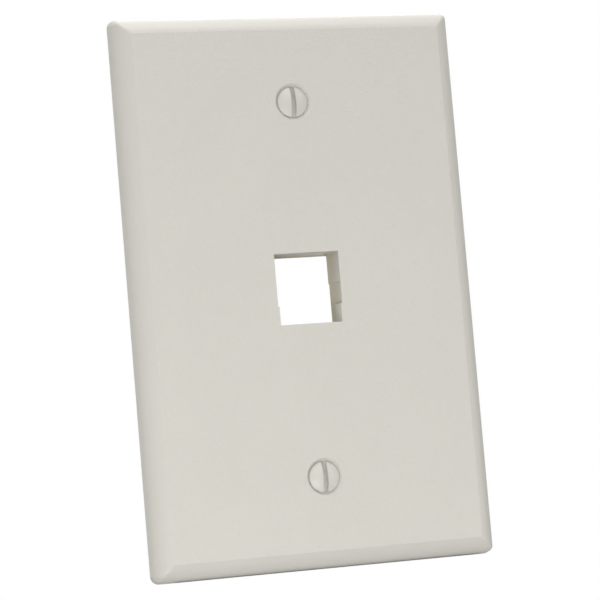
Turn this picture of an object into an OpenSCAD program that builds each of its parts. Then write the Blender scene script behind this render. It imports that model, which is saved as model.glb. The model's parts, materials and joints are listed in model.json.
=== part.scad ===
// Single-gang midsize wall plate for one snap-in keystone jack, with its two mounting screws.
// Lengths are in millimetres and angles in degrees.
// Origin: centre of the plate, on the wall. +Z is up, +X is right seen from the room, and the
// visible face looks along -Y.

/* [Plate] */
// Width across the back edge
plate_w = 79.375; // [70:0.125:90]
// Height across the back edge
plate_h = 123.825; // [115:0.125:140]
// Depth from the wall to the visible face
plate_d = 6; // [5.8:0.1:6.6]
// Thickness behind the visible face
face_t = 2.4; // [2.2:0.1:2.6]
// Thickness of the side walls and the rounded edge
wall_t = 2; // [1.6:0.1:2.2]
// Radius of the four outer corners
corner_r = 1.9; // [1:0.1:3]

/* [Rounded edge] */
// Height of the straight side wall above the wall surface
side_h = 1.8; // [1.4:0.1:2]
// Draft of the straight side wall
side_draft = 10; // [8:1:12]
// Distance from the outer rim to the crease of the face
edge_w = 3.9; // [3.6:0.1:4.2]
// Blend radius where the rounded edge meets the flat face
crease_r = 1.5; // [0.5:0.1:2.5]

/* [Screw holes] */
// Distance between the two screw holes
hole_pitch = 83.34; // [83.34:Device box ears]
// Diameter of the through hole
hole_dia = 5.2; // [4.9:0.1:5.4]
// Diameter of the countersink at the face
sink_dia = 8.2; // [7.8:0.1:8.8]
// Included angle of the countersink and of the screw head
sink_angle = 82; // [82:Unified inch screws, 90:Metric screws]
// Diameter of the boss behind each hole
boss_dia = 9.6; // [8.8:0.1:11]
// Gap between the end of a boss and the wall surface
boss_gap = 0.5; // [0.3:0.1:1]

/* [Jack port] */
// Width of the opening in the face
port_w = 14.8; // [14.6:0.1:15.2]
// Height of the opening in the face
port_h = 15.7; // [15.5:0.1:16.2]
// Thickness of the frame around the jack
frame_t = 1.8; // [1.4:0.1:2.2]
// Depth of the frame's side walls, from the face
frame_depth = 8; // [7.6:0.1:8.4]
// Extra depth of the side walls above the ledge
upper_extra = 0.5; // [0.2:0.1:0.6]
// Room above the opening for the jack's spring latch
latch_room = 2.2; // [1.8:0.1:2.6]
// Depth from the face to the latch bar
latch_depth = 8.5; // [8.5:0.1:9]
// Thickness of the latch bar, front to back
latch_bar_t = 2; // [1.5:0.1:2.5]
// Room below the opening for the jack's fixed hook
hook_room = 1.6; // [1.2:0.1:2]
// Depth from the face to the hook bar
hook_depth = 6.5; // [6:0.1:6.6]
// Height of the ledge in the side walls, from the centre of the opening
ledge_up = 1.2; // [0:0.1:2]
// How far the side walls are cut back below the ledge
relief_cut = 0.4; // [0.1:0.05:0.4]
// Distance from the face to the front of the cut-back
relief_lip = 0.6; // [0.4:0.1:1]
// Depth from the face to where the cut-back begins to run out
relief_full_depth = 3.6; // [3:0.1:4]
// Depth from the face to where the cut-back has run out
relief_end_depth = 4.8; // [4.4:0.1:5.4]
// How far the guide pads stand into the lower part of the opening
guide_in = 0.3; // [0.1:0.05:0.4]
// Height of the guide pads
guide_h = 4.1; // [3:0.1:5]
// Depth of the guide pads, from the face
guide_depth = 4; // [3:0.1:5]

/* [Ribs] */
// Thickness of the stiffening ribs
rib_t = 1.2; // [0.8:0.1:1.6]
// Height of the stiffening ribs
rib_h = 2; // [1:0.1:2.6]
// How much lower the cross ribs are, and how far all ribs stand inside the frame's outer faces
rib_step = 0.2; // [0.1:0.1:0.4]

/* [Screws] */
// Outside diameter of the thread
thread_dia = 3.505; // [3.3:0.005:3.6]
// Diameter of the plain neck under the head
neck_dia = 2.95; // [2.7:0.05:3.2]
// Length of the plain neck
neck_len = 1.6; // [0.8:0.1:2]
// Length from the rim of the head to the tip
screw_len = 25.4; // [19.05:6.35:38.1]
// Diameter of the head
head_dia = 7; // [6.6:0.1:7.2]
// Height of the domed top above the rim of the head
dome_h = 1.1; // [0.8:0.1:1.4]
// Height of the narrow rim of the head
head_rim = 0.15; // [0.1:0.05:0.3]
// Width of the driver slot
slot_w = 1.1; // [0.9:0.1:1.3]
// Depth of the driver slot, from the top of the dome
slot_deep = 1.5; // [1.2:0.1:1.7]
// Chamfer at the tip
tip_chamfer = 0.6; // [0.3:0.1:0.8]
// Clearance between a seated head and its countersink
seat_gap = 0.03; // [0.02:0.01:0.1]

/* [Hidden] */

$fn = 96;
eps = 0.5; // how far a cut runs past the surface it opens
bite = 0.4; // how far an added feature is sunk into what it stands on

plate_colour = [0.83, 0.81, 0.77];
screw_colour = [0.80, 0.78, 0.74];

// The rounded edge is one arc. It leaves the side wall along its tangent and ends on the face plane.
side_in = side_h * tan(side_draft);
arc_run = edge_w - side_in;
arc_rise = plate_d - side_h;
arc_steep = 90 - side_draft;
arc_shallow = 2 * atan2(arc_rise, arc_run) - arc_steep;
arc_r = norm([arc_run, arc_rise]) / (2 * sin((arc_steep - arc_shallow) / 2));
// Its centre, measured from the outer foot of the side wall
arc_c = [-side_in - arc_r * sin(arc_steep), side_h - arc_r * cos(arc_steep)];

inner_top = plate_d - face_t;
wall_bury = 1.5; // ribs end this far inside the outer rim, within the wall's thickness

port_top = port_h / 2;
frame_w = port_w + 2 * frame_t;
frame_top = port_top + latch_room + frame_t;
frame_bottom = -port_top - hook_room - frame_t;
frame_back = plate_d - frame_depth;
latch_front = plate_d - latch_depth;
hook_front = plate_d - hook_depth;
relief_front = plate_d - relief_lip;
relief_full = plate_d - relief_full_depth;
relief_back = plate_d - relief_end_depth;
guide_back = plate_d - guide_depth;
guide_top = guide_h - port_top;

sink_slope = tan(sink_angle / 2);
sink_depth = (sink_dia - hole_dia) / 2 / sink_slope;
// The head's rim sits where the countersink is as wide as the head, less the clearance.
seat_depth = (sink_dia - head_dia) / 2 / sink_slope - seat_gap / sin(sink_angle / 2);
head_cone_h = (head_dia - neck_dia) / 2 / sink_slope;
dome_r = (pow(head_dia / 2, 2) + pow(dome_h, 2)) / (2 * dome_h);

// A point on a circle, by the tilt of its tangent from the face
function on_arc(centre, r, tilt) = centre + r * [sin(tilt), cos(tilt)];

// Where a circle crosses the height h, on its outer side
function at_height(centre, r, h) = [centre.x + sqrt(r * r - pow(h - centre.y, 2)), h];

// Turns the plate's drawing frame (face up) into the row's frame (face towards -Y)
module hung_on_wall() {
    rotate([90, 0, 0]) children();
}

// A box from its two opposite corners
module block(low, high) {
    translate(low) cube(high - low);
}

// The part of a disc beyond the chord between two of its points, taken anticlockwise
module disc_segment(centre, r, from, to) {
    along = (to - from) / norm(to - from);
    out = [along.y, -along.x];
    intersection() {
        translate(centre) circle(r);
        polygon([from, from + r * out, to + r * out, to]);
    }
}

// The outer section of the plate from its inner end to its rim. The outer foot is at half.
module outer_section(half, inner = 0) {
    shift = [half, 0];
    c = arc_c + shift;
    blend_c = at_height(c, arc_r - crease_r, plate_d - crease_r);
    leave_side = on_arc(c, arc_r, arc_steep);
    meet_blend = c + (blend_c - c) * arc_r / (arc_r - crease_r);
    meet_face = blend_c + [0, crease_r];
    polygon([[inner, 0], shift, leave_side, meet_blend, meet_face, [inner, plate_d]]);
    disc_segment(c, arc_r, leave_side, meet_blend);
    disc_segment(blend_c, crease_r, meet_blend, meet_face);
}

// Half of the hollow behind the face: the outer section moved in by the wall thickness
module hollow_section(half) {
    c = arc_c + [half, 0];
    r = arc_r - wall_t;
    leave_side = on_arc(c, r, arc_steep);
    meet_top = at_height(c, r, inner_top);
    below = leave_side.y + eps;
    foot = leave_side + below * [tan(side_draft), -1];
    polygon([[0, foot.y], foot, leave_side, meet_top, [0, inner_top]]);
    disc_segment(c, r, leave_side, meet_top);
}

// Draws a half section and its mirror image as a bar of the given length along Y
module bar_along_y(length) {
    rotate([90, 0, 0]) linear_extrude(height = length, center = true) {
        children();
        mirror([1, 0]) children();
    }
}

// The same bar along X
module bar_along_x(length) {
    rotate([0, 0, 90]) bar_along_y(length) children();
}

// Places a child drawn for the corner at +X and +Y at all four corners, its origin on the corner's axis
module at_corner_axes() {
    corner_signs = [[1, 1], [-1, 1], [-1, -1], [1, -1]];
    for (i = [0:3])
        translate([
            corner_signs[i].x * (plate_w / 2 - corner_r),
            corner_signs[i].y * (plate_h / 2 - corner_r),
            0
        ])
            rotate([0, 0, 90 * i]) children();
}

module corner_square() {
    block([0, 0, -eps], [corner_r + eps, corner_r + eps, plate_d + eps]);
}

// The edge swept round a corner, so that only the crease inside it is mitred
module rounded_corner() {
    rotate_extrude(angle = 90) intersection() {
        outer_section(corner_r, inner = -edge_w);
        square([corner_r, plate_d]);
    }
}

module outer_form() {
    difference() {
        intersection() {
            bar_along_y(plate_h) outer_section(plate_w / 2);
            bar_along_x(plate_w) outer_section(plate_h / 2);
        }
        at_corner_axes() corner_square();
    }
    at_corner_axes() rounded_corner();
}

module hollow() {
    intersection() {
        bar_along_y(plate_h) hollow_section(plate_w / 2);
        bar_along_x(plate_w) hollow_section(plate_h / 2);
    }
}

module at_screw_holes() {
    for (side = [-1, 1])
        translate([0, side * hole_pitch / 2, 0]) children();
}

module boss() {
    translate([0, 0, boss_gap]) cylinder(d = boss_dia, h = inner_top + bite - boss_gap);
}

module rib(width, height, foot) {
    block([-width / 2, -height / 2, foot], [width / 2, height / 2, inner_top + bite]);
}

// Two long ribs beside the jack's frame, and four cross ribs at the bosses and the frame's ends
module ribs() {
    long_foot = inner_top - rib_h;
    cross_foot = long_foot + rib_step;
    inset = rib_step + rib_t / 2;
    for (side = [-1, 1])
        translate([side * (frame_w / 2 - inset), 0, 0])
            rib(rib_t, plate_h - 2 * wall_bury, long_foot);
    for (y = [-hole_pitch / 2, frame_bottom + inset, frame_top - inset, hole_pitch / 2])
        translate([0, y, 0]) rib(plate_w - 2 * wall_bury, rib_t, cross_foot);
}

// The jack's frame, deeper above the ledge and deepest behind the latch bar
module frame_solid() {
    half = frame_w / 2;
    top = inner_top + bite;
    block([-half, frame_bottom, frame_back], [half, frame_top, top]);
    block([-half, ledge_up, frame_back - upper_extra], [half, frame_top, top]);
    block([-half, port_top, latch_front - latch_bar_t], [half, frame_top, top]);
}

// Everything that is open inside the frame: the port, the latch and hook pockets and the side reliefs
module frame_opening() {
    half = port_w / 2;
    deepest = latch_front - latch_bar_t - eps;
    block([-half, -port_top, deepest], [half, port_top, plate_d + eps]);
    block([-half, 0, latch_front], [half, port_top + latch_room, inner_top]);
    block([-half, -port_top - hook_room, hook_front], [half, 0, inner_top]);
    for (side = [0, 1])
        mirror([side, 0, 0]) relief();
}

// The shallow recess in the right side wall, from the guide pad up to the ledge
module relief() {
    half = port_w / 2;
    outside = half + relief_cut;
    translate([0, ledge_up, 0])
        rotate([90, 0, 0])
            linear_extrude(height = ledge_up - guide_top)
                polygon([
                    [half - bite, relief_back],
                    [half, relief_back],
                    [outside, relief_full],
                    [outside, relief_front],
                    [half - bite, relief_front]
                ]);
}

// The two pads that narrow the lower part of the opening
module guide_pads() {
    inside = port_w / 2 - guide_in;
    outside = port_w / 2 + bite;
    for (side = [0, 1])
        mirror([side, 0, 0])
            block([inside, -port_top - bite, guide_back], [outside, guide_top, plate_d]);
}

module countersunk_hole() {
    translate([0, 0, -eps]) cylinder(d = hole_dia, h = plate_d + 2 * eps);
    translate([0, 0, plate_d - sink_depth])
        cylinder(d1 = hole_dia, d2 = sink_dia, h = sink_depth);
    translate([0, 0, plate_d]) cylinder(d = sink_dia, h = eps);
}

module wall_plate() {
    color(plate_colour) hung_on_wall() {
        difference() {
            union() {
                difference() {
                    outer_form();
                    hollow();
                }
                ribs();
                at_screw_holes() boss();
                frame_solid();
            }
            frame_opening();
            at_screw_holes() countersunk_hole();
        }
        guide_pads();
    }
}

// Oval-head machine screw. Its head's rim is at height 0 and its shank points down.
module screw() {
    neck_top = -head_cone_h;
    thread_top = neck_top - neck_len;
    thread_end = tip_chamfer - screw_len;
    difference() {
        union() {
            intersection() {
                translate([0, 0, head_rim + dome_h - dome_r]) sphere(dome_r);
                cylinder(d = head_dia, h = dome_h + head_rim + eps);
            }
            translate([0, 0, neck_top]) cylinder(d1 = neck_dia, d2 = head_dia, h = head_cone_h);
        }
        translate([-slot_w / 2, -head_dia, head_rim + dome_h - slot_deep])
            cube([slot_w, 2 * head_dia, slot_deep + eps]);
    }
    translate([0, 0, thread_top]) cylinder(d = neck_dia, h = neck_len);
    translate([0, 0, thread_end]) cylinder(d = thread_dia, h = thread_top - thread_end);
    translate([0, 0, -screw_len])
        cylinder(d1 = thread_dia - 2 * tip_chamfer, d2 = thread_dia, h = tip_chamfer);
}

module seated_screw(side) {
    color(screw_colour) hung_on_wall()
        translate([0, side * hole_pitch / 2, plate_d - seat_depth]) screw();
}

module upper_mounting_screw() {
    seated_screw(1);
}

module lower_mounting_screw() {
    seated_screw(-1);
}

wall_plate();
upper_mounting_screw();
lower_mounting_screw();
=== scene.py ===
"""The looks of a wall plate with one keystone port and its two mounting screws.

Shapes are drawn in millimetres in the plate's drawing frame, X right, Y up and Z out of the face,
with Z = 0 on the wall, and are turned into the row's frame in metres when a piece is finished.
"""

import json
import math

import bmesh
import bpy
from mathutils import Matrix, Vector


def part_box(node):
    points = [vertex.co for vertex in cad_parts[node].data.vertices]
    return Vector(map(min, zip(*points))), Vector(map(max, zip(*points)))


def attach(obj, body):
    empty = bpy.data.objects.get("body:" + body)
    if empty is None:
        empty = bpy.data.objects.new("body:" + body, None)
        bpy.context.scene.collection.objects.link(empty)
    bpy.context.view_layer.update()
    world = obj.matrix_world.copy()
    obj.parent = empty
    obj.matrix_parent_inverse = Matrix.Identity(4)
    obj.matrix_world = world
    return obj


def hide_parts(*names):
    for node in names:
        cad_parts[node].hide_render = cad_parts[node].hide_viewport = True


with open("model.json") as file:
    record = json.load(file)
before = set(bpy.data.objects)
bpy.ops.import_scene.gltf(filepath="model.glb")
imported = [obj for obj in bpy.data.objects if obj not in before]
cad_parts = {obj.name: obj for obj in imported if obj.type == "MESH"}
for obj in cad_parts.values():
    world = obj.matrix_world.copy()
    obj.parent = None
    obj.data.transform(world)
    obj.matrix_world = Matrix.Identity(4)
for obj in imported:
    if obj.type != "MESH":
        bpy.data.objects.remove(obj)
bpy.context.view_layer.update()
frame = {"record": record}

MM = 0.001
DRAWING_TO_ROW = Matrix.Rotation(math.radians(90), 4, "X") @ Matrix.Scale(MM, 4)

# ---------------------------------------------------------------- sizes, in millimetres

plate_low, plate_high = (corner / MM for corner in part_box("wall_plate"))
screw_low, screw_high = (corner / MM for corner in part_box("upper_mounting_screw"))
mounts = {mount["name"]: mount for mount in frame["record"]["mounts"]}

# The plate. A wall's height Z is measured from the wall surface, and PLATE_D is the face.
PLATE_W = plate_high.x - plate_low.x
PLATE_H = plate_high.z - plate_low.z
PLATE_D = -plate_low.y
FACE_T = 2.4
WALL_T = 2.0
INNER_TOP = PLATE_D - FACE_T

# Its rounded edge: a drafted side wall, one arc, and a blend at the crease of the face
SIDE_H = 1.8
SIDE_DRAFT = math.radians(10)
EDGE_W = 3.9
CREASE_R = 1.5
CORNER_R = 1.9
MITRE_R = 0.5
HOLLOW_CORNER_R = 0.6

# The screw holes and the bosses behind them
HOLE_UP = mounts["upper_screw_thread"]["pos_m"][2] / MM
HOLE_R = 2.6
SINK_R = 4.1
SINK_SLOPE = math.tan(math.radians(82 / 2))
BOSS_R = 4.8
BOSS_GAP = 0.5

# The port, the frame round the jack, and what is open inside it
PORT_W = 14.8
PORT_H = 15.7
FRAME_T = 1.8
FRAME_BACK = PLATE_D - 8.0
FRAME_UPPER_BACK = FRAME_BACK - 0.5
LATCH_ROOM = 2.2
LATCH_FRONT = PLATE_D - 8.5
LATCH_BACK = -plate_high.y
HOOK_ROOM = 1.6
HOOK_FRONT = PLATE_D - 6.5
LEDGE_UP = 1.2
RELIEF_CUT = 0.4
RELIEF_FRONT = PLATE_D - 0.6
RELIEF_FULL = PLATE_D - 3.6
RELIEF_BACK = PLATE_D - 4.8
GUIDE_IN = 0.3
GUIDE_H = 4.1
GUIDE_BACK = PLATE_D - 4.0

# The ribs, which start this far inside the plate's rim and stand a step inside the frame's sides
RIB_T = 1.2
RIB_H = 2.0
RIB_BURY = 1.5
RIB_STEP = 0.2

# The screws
THREAD_R = mounts["upper_screw_thread"]["dims"]["r_mm"]
THREAD_PITCH = 25.4 / 32
THREAD_DEPTH = 0.49
THREAD_SIDES = 60
STEPS_PER_TURN = 8
CREST_SHARE = 0.14  # of half a pitch
FLANK_SHARE = 0.74
RUN_OUT = 1.5 * THREAD_PITCH
NECK_R = 1.475
NECK_LEN = 1.6
TIP_CHAMFER = 0.6
SCREW_LEN = 25.4
SCREW_TIP = -screw_high.y
HEAD_R = (screw_high.x - screw_low.x) / 2
HEAD_PLANE = SCREW_TIP + SCREW_LEN
HEAD_CONE_H = (HEAD_R - NECK_R) / SINK_SLOPE
HEAD_RIM = 0.15
DOME_H = 1.1
DOME_R = (HEAD_R**2 + DOME_H**2) / (2 * DOME_H)
DOME_TOP = HEAD_PLANE + HEAD_RIM + DOME_H
DOME_STEPS = 10
DOME_START = 0.99  # of the dome's tilt at the rim
SLOT_W = 1.1
SLOT_DEEP = 1.5

# Rounding. The middle of a quarter round stands ROUND_MID of its radius off each side of its corner.
EASE = 0.15
FOOT_R = 0.3
ROUND_MID = 0.3
RIM_LEAN = 0.1 * EASE  # how far the side wall is in at the top of the plate's eased rim
# The lip of a countersink, as (wider, higher) than its sharp edge, over EASE
LIP = ((-0.7, -1.0), (0.1, -ROUND_MID), (1.0, 0.0))
# Where the screw's neck meets the cone and the cone meets the rim, as (wider, higher)
NECK_CORNER = ((0.0, -0.15), (0.04, 0.02), (0.2, 0.2 / SINK_SLOPE))
RIM_CORNER = ((-0.08, -0.09), (-0.015, -0.01), (0.0, 0.05), (0.0, HEAD_RIM - 0.03))

OVERSHOOT = 0.5  # how far a cut runs past the surface it opens
BITE = 0.4  # how far an added feature is sunk into what it stands on
NEARLY = 0.01  # heights closer than this count as the same
WELD = 1e-4  # vertices closer than this are merged
SHARP_ANGLE = math.radians(35)

# ---------------------------------------------------------------- colours, as linear RGB

PLASTIC_DARK = (0.600, 0.583, 0.530)
PLASTIC_LIGHT = (0.625, 0.608, 0.553)
PLASTIC_SPECK = (0.70, 0.68, 0.62)
PLASTIC_EDGE = (0.68, 0.665, 0.61)
# Dust and painted shade, darkening the plastic deep in crevices
PLASTIC_DUST_AND_SHADE = (0.40, 0.36, 0.28)
# Painted warm shade on the port's walls, standing in for warmer light bounced inside the port
PLASTIC_PORT_PAINTED_SHADE = (0.515, 0.476, 0.363)
# Off the flat face the plastic is a little darker; on the rounded edge this is partly painted shade
# at the crease
SMOOTH_TINT = (0.965, 0.965, 0.965)
PAINT = (0.61, 0.593, 0.54)
ZINC_BRIGHT = (0.70, 0.71, 0.72)
ZINC_DULL = (0.50, 0.51, 0.53)
# Painted shade deep in the screw thread's crevices
THREAD_PAINTED_SHADE = (0.16, 0.15, 0.14)
FLOOR_DARK = (0.90, 0.90, 0.90)
FLOOR_LIGHT = (0.93, 0.93, 0.93)
FLOOR_UNSEEN = (0.25, 0.25, 0.25)
BLACK_CARD = (0.02, 0.02, 0.02)
WHITE = (1.0, 1.0, 1.0)

# ---------------------------------------------------------------- surfaces, lengths in millimetres

NOISE_RANGE = (0.3, 0.7)  # where most of a noise's values lie

# How like each other the true and the softened normal are, and how open a surface is
FLAT_LIKENESS = 0.995
EDGE_LIKENESS = 0.93
CREVICE_OPEN = 0.25
SURFACE_OPEN = 0.75

# Where a mask starts and ends its fade, outwards from the port's walls and from the crease, and
# down from the face
PORT_FADE = (0.1, 0.3)
CREASE_FADE = (-0.1, 0.1)
FACE_FADE = (0.05, 0.3)

# Sizes of the plastic's features, and how deep its bumps are
CLOUD_SIZE = 18
PEEL_SIZE = 4
SPECK_SIZE = 0.7
GRAIN_SIZE = 0.35
PEEL_DEEP = 0.02
SPECK_DEEP = 0.1
GRAIN_DEEP = 0.065
EDGE_STIPPLE = 0.3  # how strong the stipple is on the rounded edge, where the face is 1

# How much of each colour is mixed into the plastic, its roughness, and how far the wear, the dust
# and painted shade in crevices, and the painted warm shade on the port's walls reach
SPECK_SHARE = 0.05
EDGE_SHARE = 0.25
DUST_AND_SHADE_SHARE = 0.12
PLASTIC_ROUGHNESS = (0.38, 0.46)
FACE_ROUGHER = 0.09
EDGE_SMOOTHER = 0.1
PLASTIC_IOR = 1.5
WORN_EDGE = 0.5
DUST_AND_SHADE_REACH = 2.5
PORT_SHADE_DEEP = 5

# The screws' paint, which ends raggedly below the rim of the head, and the metal below it
PAINT_BELOW = 0.25
PAINT_RAGGED = 0.06
PAINT_FADE = 0.08
PAINT_WEAR = 0.8
WORN_PATCHES = (0.52, 0.62)  # the noise's values from untouched to fully worn
PAINT_EDGE = 0.2
PAINT_ROUGHNESS = (0.36, 0.44)
PATCH_SIZE = 0.6
TARNISH_SIZE = 3
BRUSH_SIZE = 1.2
BRUSH_STRETCH = 9.0
BRUSH_DEEP = 0.006
DENT_SIZE = 0.8
DENT_DEEP = 0.007
# How far and how strongly painted shade darkens the thread's crevices
THREAD_SHADE_REACH = 0.8
THREAD_SHADE_SHARE = 0.55
METAL_ROUGHNESS = (0.24, 0.42)

# ---------------------------------------------------------------- studio, in metres and degrees

# Softboxes round the plate: name, azimuth, elevation, distance, width, height, watts
LIGHTS = (
    ("overhead", 0, 78, 1.3, 0.9, 0.7, 9.1),
    ("overhead_behind", 180, 70, 1.3, 0.9, 0.7, 3.9),
    ("ahead", 8, 12, 1.3, 0.8, 0.6, 0.55),
    ("low_left", -30, -40, 0.55, 0.4, 0.4, 2.7),
    ("low_right", 65, -20, 0.6, 0.4, 0.5, 0.75),
    ("back_fill", 150, 30, 1.3, 0.8, 0.8, 4),
)
WORLD_LEFT = 0.737
WORLD_RIGHT = 0.515

FLOOR_DROP = 0.4
FLOOR_SIZE = 6.0
FLOOR_GLOW = 0.45
FLOOR_MOTTLE = 0.3
FLOOR_ROUGHNESS = 0.9

# The black card stands out of the wall by FLAG_REACH and below the plate by FLAG_GAP
FLAG_X = 0.001
FLAG_W = 0.071
FLAG_DEEP = 0.02
FLAG_REACH = 0.0018
FLAG_GAP = 0.0005

CAMERA_TARGET = Vector((-0.00233, -PLATE_D * MM, -0.00256))
CAMERA_AZIMUTH = -17.75
CAMERA_ELEVATION = -4.45
CAMERA_ROLL = 4.85
CAMERA_DISTANCE = 0.5289
CAMERA_LENS = 144.05
CAMERA_SENSOR = 36.0

# ---------------------------------------------------------------- making solids


def new_object(name, bm):
    """Turns a bmesh into a linked object and frees the bmesh."""
    bmesh.ops.recalc_face_normals(bm, faces=bm.faces)
    mesh = bpy.data.meshes.new(name)
    bm.to_mesh(mesh)
    bm.free()
    piece = bpy.data.objects.new(name, mesh)
    bpy.context.scene.collection.objects.link(piece)
    return piece


def loft(name, rings):
    """A closed solid through rings that all have the same number of points."""
    bm = bmesh.new()
    rows = [[bm.verts.new(point) for point in ring] for ring in rings]
    count = len(rows[0])
    for below, above in zip(rows, rows[1:]):
        for i in range(count):
            after = (i + 1) % count
            bm.faces.new((below[i], below[after], above[after], above[i]))
    bm.faces.new(rows[0])
    bm.faces.new(rows[-1])
    return new_object(name, bm)


def block(low, high, is_rounded=None, radius=0.0):
    """A box from two opposite corners, with the edges that is_rounded picks rounded."""
    bm = bmesh.new()
    size = Vector(high) - Vector(low)
    place = Matrix.Translation((Vector(low) + Vector(high)) / 2) @ Matrix.Diagonal((*size, 1))
    bmesh.ops.create_cube(bm, size=1, matrix=place)
    made = new_object("block", bm)
    if is_rounded:
        round_edges(made, radius, is_rounded)
    return made


def round_edges(piece, radius, is_rounded):
    """Rounds the outward edges that is_rounded picks."""
    bm = bmesh.new()
    bm.from_mesh(piece.data)
    picked = [edge for edge in bm.edges if edge.is_convex and is_rounded(edge)]
    bmesh.ops.bevel(
        bm, geom=picked, offset=radius, segments=4, profile=0.5, affect="EDGES", clamp_overlap=True
    )
    bm.to_mesh(piece.data)
    bm.free()


def circle(radius, height, centre=(0, 0), steps=72):
    """The points of a circle at the given height."""
    turn = 2 * math.pi / steps
    return [
        (centre[0] + radius * math.cos(i * turn), centre[1] + radius * math.sin(i * turn), height)
        for i in range(steps)
    ]


def rounded_rectangle(half_w, half_h, radius, height, steps=12):
    """An anticlockwise outline with an arc of the given number of steps at each corner."""
    points = []
    for quarter, (right, up) in enumerate(((1, 1), (-1, 1), (-1, -1), (1, -1))):
        middle = Vector((right * (half_w - radius), up * (half_h - radius)))
        for step in range(steps + 1):
            angle = math.pi / 2 * (quarter + step / steps)
            x = middle.x + radius * math.cos(angle)
            y = middle.y + radius * math.sin(angle)
            points.append((x, y, height))
    return points


def combine(base, operation, tools):
    """Joins the tools to the base or cuts them from it, one by one, and deletes them."""
    for tool in tools:
        boolean = base.modifiers.new("combine", "BOOLEAN")
        boolean.operation = operation
        boolean.solver = "EXACT"
        boolean.object = tool
        apply_modifiers(base)
        bpy.data.objects.remove(tool)


def apply_modifiers(piece):
    """Bakes the modifiers of a piece into its mesh."""
    depsgraph = bpy.context.evaluated_depsgraph_get()
    depsgraph.update()
    mesh = bpy.data.meshes.new_from_object(piece.evaluated_get(depsgraph))
    piece.modifiers.clear()
    piece.data = mesh


def finish_piece(piece, body, node_name):
    """Turns a finished solid into the row's frame, shades it and hands it to its body."""
    piece.data.transform(DRAWING_TO_ROW)
    piece.data.shade_smooth()
    piece.data.set_sharp_from_angle(angle=SHARP_ANGLE)
    weighted = piece.modifiers.new("even_shading", "WEIGHTED_NORMAL")
    weighted.weight = 90
    weighted.keep_sharp = True
    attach(piece, body)
    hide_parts(node_name)


# ---------------------------------------------------------------- the plate


def edge_arc():
    """Centre and radius of the rounded edge, and its tilt from the face plane at the side wall.

    The centre is (inset from the outer rim, height).
    """
    side_in = SIDE_H * math.tan(SIDE_DRAFT)
    run, rise = EDGE_W - side_in, PLATE_D - SIDE_H
    steep = math.pi / 2 - SIDE_DRAFT
    shallow = 2 * math.atan2(rise, run) - steep
    radius = math.hypot(run, rise) / (2 * math.sin((steep - shallow) / 2))
    centre = (side_in + radius * math.sin(steep), SIDE_H - radius * math.cos(steep))
    return centre, radius, steep


def arc_points(centre, radius, tilt_from, tilt_to, steps):
    """Points (inset, height) on an arc of the edge, by the tilt of its tangent."""
    points = []
    for i in range(steps + 1):
        tilt = tilt_from + (tilt_to - tilt_from) * i / steps
        points.append((centre[0] - radius * math.sin(tilt), centre[1] + radius * math.cos(tilt)))
    return points


def outer_section():
    """The plate's section as (inset, height) points, from the wall up to the face."""
    centre, radius, steep = edge_arc()
    reach = radius - CREASE_R
    drop = PLATE_D - CREASE_R - centre[1]
    blend_tilt = math.asin(math.sqrt(reach**2 - drop**2) / reach)
    blend_centre = (centre[0] - reach * math.sin(blend_tilt), PLATE_D - CREASE_R)
    rim = [(EASE, 0.0), (ROUND_MID * EASE, ROUND_MID * EASE), (RIM_LEAN, EASE)]
    edge = arc_points(centre, radius, steep, blend_tilt, steps=14)
    crease = arc_points(blend_centre, CREASE_R, blend_tilt, 0.0, steps=5)
    return rim + edge + crease[1:]


def hollow_section():
    """The section of the hollow behind the face: the outer section moved in by the wall."""
    centre, radius, steep = edge_arc()
    inner_r = radius - WALL_T
    top_tilt = math.acos((INNER_TOP - centre[1]) / inner_r)
    edge = arc_points(centre, inner_r, steep, top_tilt, steps=8)
    first_in, first_up = edge[0]
    rim_in = first_in - (first_up - EASE) * math.tan(SIDE_DRAFT)
    mouth = [
        (rim_in - EASE, -OVERSHOOT),
        (rim_in - EASE, 0.0),
        (rim_in - ROUND_MID * EASE, ROUND_MID * EASE),
        (rim_in, EASE),
    ]
    return mouth + edge


def swept_form(name, section, least_corner):
    """A solid whose outline shrinks up the section, with corners no tighter than the least."""
    rings = []
    for inset, height in section:
        corner = max(CORNER_R - inset, least_corner)
        half_w, half_h = PLATE_W / 2 - inset, PLATE_H / 2 - inset
        rings.append(rounded_rectangle(half_w, half_h, corner, height))
    return loft(name, rings)


def rib(width, height, foot, x=0.0, y=0.0):
    """A rib with its two long free edges rounded."""
    low = (x - width / 2, y - height / 2, foot)
    high = (x + width / 2, y + height / 2, INNER_TOP + BITE)
    along = 0 if width > height else 1

    def is_free_long_edge(edge):
        first, second = (vert.co for vert in edge.verts)
        is_free = max(first.z, second.z) < foot + NEARLY
        return is_free and abs((second - first)[along]) > RIB_T

    return block(low, high, is_free_long_edge, FOOT_R)


def ribs():
    """Two long ribs beside the jack frame, and four cross ribs that are a little lower."""
    inset = FRAME_T - RIB_STEP - RIB_T / 2
    side_x = PORT_W / 2 + inset
    above = PORT_H / 2 + LATCH_ROOM + inset
    below = -PORT_H / 2 - HOOK_ROOM - inset
    long_foot = INNER_TOP - RIB_H
    cross_foot = long_foot + RIB_STEP
    long_ribs = [
        rib(RIB_T, PLATE_H - 2 * RIB_BURY, long_foot, x=x) for x in (-side_x, side_x)
    ]
    cross_ribs = [
        rib(PLATE_W - 2 * RIB_BURY, RIB_T, cross_foot, y=y)
        for y in (-HOLE_UP, below, above, HOLE_UP)
    ]
    return long_ribs + cross_ribs


def bosses():
    """A round boss with a rounded foot behind each screw hole."""
    section = (
        (BOSS_R - FOOT_R, BOSS_GAP),
        (BOSS_R - ROUND_MID * FOOT_R, BOSS_GAP + ROUND_MID * FOOT_R),
        (BOSS_R, BOSS_GAP + FOOT_R),
        (BOSS_R, INNER_TOP + BITE),
    )
    return [
        loft("boss", [circle(radius, height, (0, y)) for radius, height in section])
        for y in (-HOLE_UP, HOLE_UP)
    ]


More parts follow.
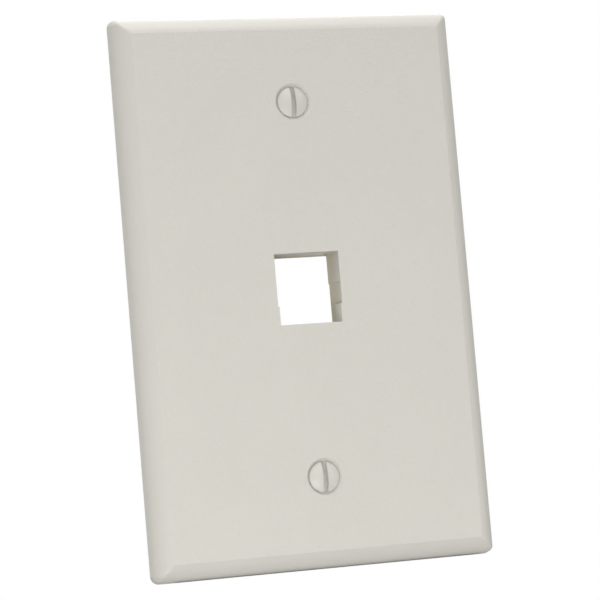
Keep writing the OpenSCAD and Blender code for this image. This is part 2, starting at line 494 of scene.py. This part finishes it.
def jack_frame():
    """The frame round the jack, deeper above the ledge and deepest behind the latch bar."""
    half = PORT_W / 2 + FRAME_T
    bottom = -PORT_H / 2 - HOOK_ROOM - FRAME_T
    top = PORT_H / 2 + LATCH_ROOM + FRAME_T
    rise = INNER_TOP + BITE
    profile = (
        (bottom, rise), (bottom, FRAME_BACK), (LEDGE_UP, FRAME_BACK),
        (LEDGE_UP, FRAME_UPPER_BACK), (PORT_H / 2, FRAME_UPPER_BACK), (PORT_H / 2, LATCH_BACK),
        (top, LATCH_BACK), (top, rise),
    )
    frame_solid = loft("jack_frame", [[(x, y, z) for y, z in profile] for x in (-half, half)])
    round_edges(frame_solid, EASE, lambda edge: max(v.co.z for v in edge.verts) < rise - NEARLY)
    return frame_solid


def port_outline(height, flare=0.0):
    """The opening's outline, narrower between the guide pads, widened all round by the flare."""
    wide, narrow = PORT_W / 2 + flare, PORT_W / 2 - GUIDE_IN + flare
    top, bottom = PORT_H / 2 + flare, -PORT_H / 2 - flare
    step = GUIDE_H - PORT_H / 2 - flare
    right = [(narrow, bottom), (narrow, step), (wide, step), (wide, top)]
    left = [(-x, y) for x, y in reversed(right)]
    return [(x, y, height) for x, y in right + left]


def port_front():
    """The front of the opening, between the guide pads, with its flared lip."""
    return loft("port_front", [
        port_outline(GUIDE_BACK),
        port_outline(PLATE_D - EASE),
        port_outline(PLATE_D - ROUND_MID * EASE, ROUND_MID * EASE),
        port_outline(PLATE_D, EASE),
        port_outline(PLATE_D + OVERSHOOT, EASE),
    ])


def relief(side):
    """The shallow recess in one side of the opening, above its guide pad."""
    inside, outside = side * (PORT_W / 2 - BITE), side * (PORT_W / 2 + RELIEF_CUT)
    profile = (
        (inside, RELIEF_BACK), (side * PORT_W / 2, RELIEF_BACK), (outside, RELIEF_FULL),
        (outside, RELIEF_FRONT), (inside, RELIEF_FRONT),
    )
    bottom, top = GUIDE_H - PORT_H / 2, LEDGE_UP
    return loft("relief", [[(x, y, z) for x, z in profile] for y in (bottom, top)])


def port_cutters():
    """The through opening, the latch and hook pockets, and the side reliefs."""
    half, up = PORT_W / 2, PORT_H / 2
    return [
        port_front(),
        block((-half, -up, LATCH_BACK - OVERSHOOT), (half, up, GUIDE_BACK)),
        block((-half + BITE, 0, LATCH_FRONT), (half - BITE, up + LATCH_ROOM, INNER_TOP)),
        block((-half + BITE, -up - HOOK_ROOM, HOOK_FRONT), (half - BITE, 0, INNER_TOP)),
        relief(1),
        relief(-1),
    ]


def hole_cutters():
    """A countersunk hole with a flared lip at each end of the plate."""
    sink_bottom = PLATE_D - (SINK_R - HOLE_R) / SINK_SLOPE
    section = [(HOLE_R, -OVERSHOOT), (HOLE_R, sink_bottom)]
    section += [(SINK_R + wider * EASE, PLATE_D + higher * EASE) for wider, higher in LIP]
    section += [(SINK_R + EASE, PLATE_D + OVERSHOOT)]
    return [
        loft("hole", [circle(radius, height, (0, y)) for radius, height in section])
        for y in (-HOLE_UP, HOLE_UP)
    ]


def make_plate():
    """The plate: a hollow rounded form with its ribs, bosses, jack frame, port and holes."""
    plate = swept_form("plate_moulding", outer_section(), MITRE_R)
    combine(plate, "DIFFERENCE", [swept_form("hollow", hollow_section(), HOLLOW_CORNER_R)])
    combine(plate, "UNION", ribs() + bosses() + [jack_frame()])
    combine(plate, "DIFFERENCE", port_cutters() + hole_cutters())
    finish_piece(plate, "plate", "wall_plate")
    return plate


# ---------------------------------------------------------------- the screws


def thread_radius(phase, height, low, high):
    """A rolled V thread: flat crests, narrow roots, fading into the neck and the tip's chamfer."""
    from_crest = min(phase, 1 - phase) * 2
    depth = THREAD_DEPTH * min(max((from_crest - CREST_SHARE) / FLANK_SHARE, 0), 1)
    radius = THREAD_R - depth
    fade = min(max((high - height) / RUN_OUT, 0), 1)
    radius = NECK_R + (radius - NECK_R) * fade
    return min(radius, THREAD_R - TIP_CHAMFER + (height - low))


def thread_columns(low, high):
    """Points of the threaded length in columns sheared by the helix, so each crest stays sharp."""
    step = THREAD_PITCH / STEPS_PER_TURN
    levels = math.ceil((high - low) / step) + STEPS_PER_TURN + 1
    columns = []
    for i in range(THREAD_SIDES):
        turn = i / THREAD_SIDES
        angle = 2 * math.pi * turn
        column = []
        for j in range(levels):
            height = low + (j - STEPS_PER_TURN + turn * STEPS_PER_TURN) * step
            height = min(max(height, low), high)
            radius = thread_radius(j / STEPS_PER_TURN % 1, height, low, high)
            column.append((radius * math.cos(angle), radius * math.sin(angle), height))
        columns.append(column)
    return columns


def add_thread(bm, low, high):
    """Adds the thread's skin and returns its highest ring of vertices."""
    columns = [[bm.verts.new(p) for p in column] for column in thread_columns(low, high)]
    last = len(columns[0]) - 1
    for i, column in enumerate(columns):
        after = columns[(i + 1) % THREAD_SIDES]
        shift = STEPS_PER_TURN if i == THREAD_SIDES - 1 else 0
        for j in range(last):
            low_side, high_side = min(j + shift, last), min(j + 1 + shift, last)
            corners = (column[j], after[low_side], after[high_side], column[j + 1])
            distinct = list(dict.fromkeys(corners))
            if len(distinct) > 2:
                bm.faces.new(distinct)
    return [column[last] for column in columns]


def add_ring(bm, below, radius, height):
    """Adds a ring of vertices above another and the faces between them."""
    ring = [bm.verts.new(point) for point in circle(radius, height, steps=THREAD_SIDES)]
    for i in range(THREAD_SIDES):
        after = (i + 1) % THREAD_SIDES
        bm.faces.new((below[i], below[after], ring[after], ring[i]))
    return ring


def head_section():
    """Radius and height from the neck up the cone, over the rounded rim and onto the dome."""
    neck_top = HEAD_PLANE - HEAD_CONE_H
    section = [(NECK_R, neck_top - NECK_LEN / 2)]
    section += [(NECK_R + wider, neck_top + higher) for wider, higher in NECK_CORNER]
    section += [(HEAD_R + wider, HEAD_PLANE + higher) for wider, higher in RIM_CORNER]
    widest = math.asin(HEAD_R / DOME_R)
    for i in range(DOME_STEPS):
        tilt = widest * DOME_START * (1 - i / DOME_STEPS)
        section.append((DOME_R * math.sin(tilt), DOME_TOP - DOME_R * (1 - math.cos(tilt))))
    return section


def screw_solid(name):
    """A slotted oval-head screw on the drawing's Z axis, its tip at SCREW_TIP."""
    bm = bmesh.new()
    thread_top = HEAD_PLANE - HEAD_CONE_H - NECK_LEN
    ring = add_thread(bm, SCREW_TIP, thread_top)
    for radius, height in head_section():
        ring = add_ring(bm, ring, radius, height)
    bmesh.ops.remove_doubles(bm, verts=bm.verts, dist=WELD)
    open_edges = [edge for edge in bm.edges if len(edge.link_faces) == 1]
    bmesh.ops.holes_fill(bm, edges=open_edges, sides=0)
    screw = new_object(name, bm)
    slot_low = (-SLOT_W / 2, -2 * HEAD_R, DOME_TOP - SLOT_DEEP)
    slot_high = (SLOT_W / 2, 2 * HEAD_R, DOME_TOP + 1)
    combine(screw, "DIFFERENCE", [block(slot_low, slot_high)])
    return screw


def make_screws():
    """The two screws, seated in the upper and the lower hole."""
    upper = screw_solid("upper_screw_piece")
    lower = upper.copy()
    lower.data = upper.data.copy()
    lower.name = "lower_screw_piece"
    bpy.context.scene.collection.objects.link(lower)
    for piece, side in ((upper, 1), (lower, -1)):
        piece.data.transform(Matrix.Translation((0, side * HOLE_UP, 0)))
    finish_piece(upper, "upper_screw", "upper_mounting_screw")
    finish_piece(lower, "lower_screw", "lower_mounting_screw")
    return upper, lower


# ---------------------------------------------------------------- shader nodes


def node(tree, kind, inputs=None, **settings):
    """Adds a shader node. inputs maps its sockets to values or to other nodes' outputs."""
    made = tree.nodes.new(kind)
    for setting, value in settings.items():
        setattr(made, setting, value)
    for socket, value in (inputs or {}).items():
        if isinstance(value, bpy.types.NodeSocket):
            tree.links.new(value, made.inputs[socket])
        else:
            made.inputs[socket].default_value = value
    return made


def new_material(name):
    """A material with a plain Principled surface, and its coordinates in metres."""
    material = bpy.data.materials.new(name)
    material.use_nodes = True
    tree = material.node_tree
    tree.nodes.clear()
    surface = node(tree, "ShaderNodeBsdfPrincipled")
    node(tree, "ShaderNodeOutputMaterial", {"Surface": surface.outputs[0]})
    place = node(tree, "ShaderNodeTexCoord").outputs["Object"]
    return material, tree, surface, place


def noise(tree, place, size, detail=2.0, roughness=0.5):
    """Noise whose features are about the given size in metres, as a value of 0 to 1."""
    return node(tree, "ShaderNodeTexNoise", {
        "Vector": place, "Scale": 1 / size, "Detail": detail, "Roughness": roughness,
    }).outputs["Fac"]


def spread(tree, value, low, high, to_low, to_high):
    """Maps a range of a value onto another, held at the ends."""
    return node(tree, "ShaderNodeMapRange", {
        "Value": value, "From Min": low, "From Max": high, "To Min": to_low, "To Max": to_high,
    }).outputs["Result"]


def vary(tree, texture, low, high):
    """Maps the range that most of a noise's values lie in onto another."""
    return spread(tree, texture, *NOISE_RANGE, low, high)


def blend(tree, share, first, second, mode="MIX"):
    """Mixes two colours. Each is an RGB tuple or another node's output."""
    made = node(tree, "ShaderNodeMix", data_type="RGBA", blend_type=mode)
    for socket, value in ((0, share), (6, first), (7, second)):
        if isinstance(value, bpy.types.NodeSocket):
            tree.links.new(value, made.inputs[socket])
        else:
            made.inputs[socket].default_value = (*value, 1)
    return made.outputs[2]


def maths(tree, operation, first, second=0.0):
    """The result of one sum on two values, or on one where the operation needs only one."""
    return node(tree, "ShaderNodeMath", {0: first, 1: second}, operation=operation).outputs[0]


def bump(tree, height, depth, normal=None):
    """A normal bent by a height value, where 1 stands depth metres above 0."""
    inputs = {"Height": height, "Distance": depth, "Strength": 1.0}
    if normal is not None:
        inputs["Normal"] = normal
    return node(tree, "ShaderNodeBump", inputs).outputs["Normal"]


def edge_mask(tree, radius):
    """1 on edges that are sharper than the radius, 0 on flats."""
    softened = node(tree, "ShaderNodeBevel", {"Radius": radius}, samples=4).outputs[0]
    true_normal = node(tree, "ShaderNodeNewGeometry").outputs["Normal"]
    likeness = node(
        tree, "ShaderNodeVectorMath", {0: softened, 1: true_normal}, operation="DOT_PRODUCT"
    ).outputs["Value"]
    return spread(tree, likeness, FLAT_LIKENESS, EDGE_LIKENESS, 0.0, 1.0)


def crevice_mask(tree, reach):
    """1 deep in a crevice narrower than the reach, 0 in the open."""
    open_share = node(
        tree, "ShaderNodeAmbientOcclusion", {"Distance": reach}, samples=4
    ).outputs["AO"]
    return spread(tree, open_share, CREVICE_OPEN, SURFACE_OPEN, 1.0, 0.0)


# ---------------------------------------------------------------- materials


def near_middle_mask(tree, along, limit, start, end):
    """1 where |along| is under limit + start, 0 over limit + end. All lengths in millimetres."""
    distance = maths(tree, "ABSOLUTE", along)
    return spread(tree, distance, (limit + start) * MM, (limit + end) * MM, 1, 0)


def port_painted_shade_mask(tree, place):
    """Painted warm shade on the port's walls, in place of warmer bounced light. 0 outside the port;
    on its walls it rises from 0 at the face to 1 at its set depth.
    """
    x, depth, z = node(tree, "ShaderNodeSeparateXYZ", {"Vector": place}).outputs
    inside = maths(
        tree, "MULTIPLY",
        near_middle_mask(tree, x, PORT_W / 2 + RELIEF_CUT, *PORT_FADE),
        near_middle_mask(tree, z, PORT_H / 2, *PORT_FADE),
    )
    shallow, deep = (EASE - PLATE_D) * MM, (PORT_SHADE_DEEP - PLATE_D) * MM
    depth_share = spread(tree, depth, shallow, deep, 0, 1)
    return maths(tree, "MULTIPLY", inside, depth_share)


def face_mask(tree, place):
    """1 on the flat face inside its crease, 0 on the rounded edge and everywhere behind."""
    x, depth, z = node(tree, "ShaderNodeSeparateXYZ", {"Vector": place}).outputs
    shallow, deep = ((below - PLATE_D) * MM for below in FACE_FADE)
    mask = spread(tree, depth, shallow, deep, 1, 0)
    for along, half in ((x, PLATE_W / 2), (z, PLATE_H / 2)):
        inside = near_middle_mask(tree, along, half - EDGE_W, *CREASE_FADE)
        mask = maths(tree, "MULTIPLY", mask, inside)
    return mask


def plastic_material():
    """Light almond plastic: a fine spark-eroded stipple on the face, a smoother rounded edge."""
    material, tree, surface, place = new_material("almond_moulded_plastic")
    cloud = noise(tree, place, CLOUD_SIZE * MM)
    speck = noise(tree, place, SPECK_SIZE * MM, detail=1.0)
    grain = noise(tree, place, GRAIN_SIZE * MM, detail=2.0, roughness=0.6)
    orange_peel = noise(tree, place, PEEL_SIZE * MM, detail=1.0)
    textured = face_mask(tree, place)
    smooth = maths(tree, "SUBTRACT", 1.0, textured)
    edge = edge_mask(tree, WORN_EDGE * MM)

    colour = blend(tree, cloud, PLASTIC_DARK, PLASTIC_LIGHT)
    # Off the flat face a little darker, which on the rounded edge is partly painted shade at the
    # crease
    colour = blend(tree, smooth, colour, SMOOTH_TINT, "MULTIPLY")
    specks = vary(tree, speck, 0.0, SPECK_SHARE)
    colour = blend(tree, specks, colour, PLASTIC_SPECK)
    colour = blend(tree, maths(tree, "MULTIPLY", edge, EDGE_SHARE), colour, PLASTIC_EDGE)
    # Painted warm shade on the port's walls, in place of the warmer light bounced inside the port
    colour = blend(tree, port_painted_shade_mask(tree, place), colour, PLASTIC_PORT_PAINTED_SHADE)
    # Dust and painted shade: the plastic darkens deep in crevices, where shade falls
    dust_and_shade = maths(tree, "MULTIPLY", crevice_mask(tree, DUST_AND_SHADE_REACH * MM), DUST_AND_SHADE_SHARE)
    colour = blend(tree, dust_and_shade, colour, PLASTIC_DUST_AND_SHADE)
    tree.links.new(colour, surface.inputs["Base Color"])

    gloss = vary(tree, grain, *PLASTIC_ROUGHNESS)
    gloss = maths(tree, "ADD", gloss, maths(tree, "MULTIPLY", textured, FACE_ROUGHER))
    gloss = maths(tree, "SUBTRACT", gloss, maths(tree, "MULTIPLY", edge, EDGE_SMOOTHER))
    tree.links.new(gloss, surface.inputs["Roughness"])

    stipple_share = spread(tree, textured, 0, 1, EDGE_STIPPLE, 1)
    normal = bump(tree, orange_peel, PEEL_DEEP * MM)
    for texture, deep in ((speck, SPECK_DEEP), (grain, GRAIN_DEEP)):
        stipple = maths(tree, "MULTIPLY", texture, stipple_share)
        normal = bump(tree, stipple, deep * MM, normal)
    tree.links.new(normal, surface.inputs["Normal"])
    surface.inputs["IOR"].default_value = PLASTIC_IOR
    return material


def paint_mask(tree, place, patch):
    """1 on the painted top of the head, 0 where its edges are worn and on the metal below."""
    depth = node(tree, "ShaderNodeSeparateXYZ", {"Vector": place}).outputs["Y"]
    ragged = vary(tree, patch, -PAINT_RAGGED * MM, PAINT_RAGGED * MM)
    paint_end = (PAINT_BELOW - HEAD_PLANE) * MM
    bare_from = paint_end + PAINT_FADE * MM
    paint = spread(tree, maths(tree, "ADD", depth, ragged), paint_end, bare_from, 1, 0)
    wear = spread(tree, patch, *WORN_PATCHES, 0.0, PAINT_WEAR)
    worn = maths(tree, "MULTIPLY", edge_mask(tree, PAINT_EDGE * MM), wear)
    return maths(tree, "MULTIPLY", paint, maths(tree, "SUBTRACT", 1.0, worn))


def screw_material():
    """Paint on top of the head, worn at its edges, and bright zinc plate below it."""
    material, tree, surface, place = new_material("painted_and_zinc_plated_steel")
    patch = noise(tree, place, PATCH_SIZE * MM, detail=3.0)
    cloud = noise(tree, place, TARNISH_SIZE * MM, detail=3.0)
    brushed_place = node(tree, "ShaderNodeMapping", {
        "Vector": place, "Scale": (1.0, BRUSH_STRETCH, 1.0),
    }).outputs["Vector"]
    brushed = noise(tree, brushed_place, BRUSH_SIZE * MM, detail=4.0, roughness=0.65)
    paint = paint_mask(tree, place, patch)

    metal = blend(tree, cloud, ZINC_BRIGHT, ZINC_DULL)
    # Painted shade: the metal is darker deep in the thread's crevices
    thread_shade = maths(tree, "MULTIPLY", crevice_mask(tree, THREAD_SHADE_REACH * MM), THREAD_SHADE_SHARE)
    metal = blend(tree, thread_shade, metal, THREAD_PAINTED_SHADE)
    tree.links.new(blend(tree, paint, metal, PAINT), surface.inputs["Base Color"])
    tree.links.new(maths(tree, "SUBTRACT", 1.0, paint), surface.inputs["Metallic"])

    metal_gloss = vary(tree, brushed, *METAL_ROUGHNESS)
    paint_gloss = vary(tree, cloud, *PAINT_ROUGHNESS)
    gloss = node(tree, "ShaderNodeMix", {0: paint, 2: metal_gloss, 3: paint_gloss})
    tree.links.new(gloss.outputs[0], surface.inputs["Roughness"])

    normal = bump(tree, brushed, BRUSH_DEEP * MM)
    dents = noise(tree, place, DENT_SIZE * MM, detail=1.0)
    normal = bump(tree, dents, DENT_DEEP * MM, normal)
    tree.links.new(normal, surface.inputs["Normal"])
    return material


# ---------------------------------------------------------------- lights, floor and camera


def look_at(thing, target, azimuth, elevation, distance, roll=0.0):
    """Puts a light or camera at a direction and distance from the target, facing it."""
    azimuth, elevation, roll = (math.radians(angle) for angle in (azimuth, elevation, roll))
    back = Vector((
        math.sin(azimuth) * math.cos(elevation),
        -math.cos(azimuth) * math.cos(elevation),
        math.sin(elevation),
    ))
    turned = (-back).to_track_quat("-Z", "Y").to_matrix().to_4x4()
    place = Matrix.Translation(Vector(target) + distance * back)
    thing.matrix_world = place @ turned @ Matrix.Rotation(-roll, 4, "Z")


def softbox(name, azimuth, elevation, distance, width, height, power):
    """A rectangular light that faces the plate's centre and that the camera can't see."""
    data = bpy.data.lights.new(name, "AREA")
    data.shape = "RECTANGLE"
    data.size, data.size_y = width, height
    data.energy = power
    light = bpy.data.objects.new(name, data)
    bpy.context.scene.collection.objects.link(light)
    look_at(light, (0, 0, 0), azimuth, elevation, distance)
    light.visible_camera = False


def make_world():
    """White for the camera. For the lighting, brighter on the left than on the right."""
    world = bpy.data.worlds.new("studio")
    bpy.context.scene.world = world
    world.use_nodes = True
    tree = world.node_tree
    tree.nodes.clear()
    direction = node(tree, "ShaderNodeTexCoord").outputs["Generated"]
    right = node(tree, "ShaderNodeSeparateXYZ", {"Vector": direction}).outputs["X"]
    surround = spread(tree, right, -1.0, 1.0, WORLD_LEFT, WORLD_RIGHT)
    lit = node(tree, "ShaderNodeBackground", {"Color": (*WHITE, 1), "Strength": surround})
    seen = node(tree, "ShaderNodeBackground", {"Color": (*WHITE, 1), "Strength": 1.0})
    camera_ray = node(tree, "ShaderNodeLightPath").outputs["Is Camera Ray"]
    both = node(tree, "ShaderNodeMixShader", {
        0: camera_ray, 1: lit.outputs[0], 2: seen.outputs[0],
    })
    node(tree, "ShaderNodeOutputWorld", {"Surface": both.outputs[0]})


def stage_sheet(name, centre, width, depth, material):
    """A flat level rectangle, not attached to any of the object's bodies."""
    bm = bmesh.new()
    place = Matrix.Translation(centre) @ Matrix.Diagonal((width, depth, 1, 1))
    bmesh.ops.create_grid(bm, x_segments=1, y_segments=1, size=0.5, matrix=place)
    sheet = new_object(name, bm)
    sheet.data.materials.append(material)
    return sheet


def floor_material():
    """Pale to the camera, too dark in bounced light to brighten the plate, clear from below."""
    material, tree, surface, place = new_material("pale_floor")
    light_path = node(tree, "ShaderNodeLightPath")
    camera_ray = light_path.outputs["Is Camera Ray"]
    seen = blend(tree, noise(tree, place, FLOOR_MOTTLE), FLOOR_DARK, FLOOR_LIGHT)
    colour = blend(tree, camera_ray, FLOOR_UNSEEN, seen)
    tree.links.new(colour, surface.inputs["Base Color"])
    surface.inputs["Roughness"].default_value = FLOOR_ROUGHNESS
    tree.links.new(seen, surface.inputs["Emission Color"])
    glow = maths(tree, "MULTIPLY", camera_ray, FLOOR_GLOW)
    tree.links.new(glow, surface.inputs["Emission Strength"])
    underside = node(tree, "ShaderNodeNewGeometry").outputs["Backfacing"]
    see_through = node(tree, "ShaderNodeMixShader", {
        0: maths(tree, "MULTIPLY", camera_ray, underside),
        1: surface.outputs[0],
        2: node(tree, "ShaderNodeBsdfTransparent").outputs[0],
    })
    output = next(n for n in tree.nodes if n.bl_idname == "ShaderNodeOutputMaterial")
    tree.links.new(see_through.outputs[0], output.inputs["Surface"])
    return material


def make_floor():
    """A pale floor well below the plate."""
    stage_sheet("floor", (0, 0, -FLOOR_DROP), FLOOR_SIZE, FLOOR_SIZE, floor_material())


def make_flag():
    """A black card close under the plate that keeps light from below off its bottom side."""
    material, _, surface, _ = new_material("black_card")
    surface.inputs["Base Color"].default_value = (*BLACK_CARD, 1)
    centre = (FLAG_X, FLAG_DEEP / 2 - FLAG_REACH, -PLATE_H / 2 * MM - FLAG_GAP)
    flag = stage_sheet("flag", centre, FLAG_W, FLAG_DEEP, material)
    flag.visible_camera = False


def make_camera():
    """A long lens that looks at the face from the left and a little below."""
    data = bpy.data.cameras.new("camera")
    data.lens = CAMERA_LENS
    data.sensor_width = CAMERA_SENSOR
    camera = bpy.data.objects.new("camera", data)
    bpy.context.scene.collection.objects.link(camera)
    look_at(
        camera, CAMERA_TARGET, CAMERA_AZIMUTH, CAMERA_ELEVATION, CAMERA_DISTANCE, CAMERA_ROLL
    )
    bpy.context.scene.camera = camera


plate = make_plate()
plate.data.materials.append(plastic_material())
screw_look = screw_material()
for screw in make_screws():
    screw.data.materials.append(screw_look)
make_world()
for light in LIGHTS:
    softbox(*light)
make_floor()
make_flag()
make_camera()
bpy.context.scene.view_settings.view_transform = "Standard"
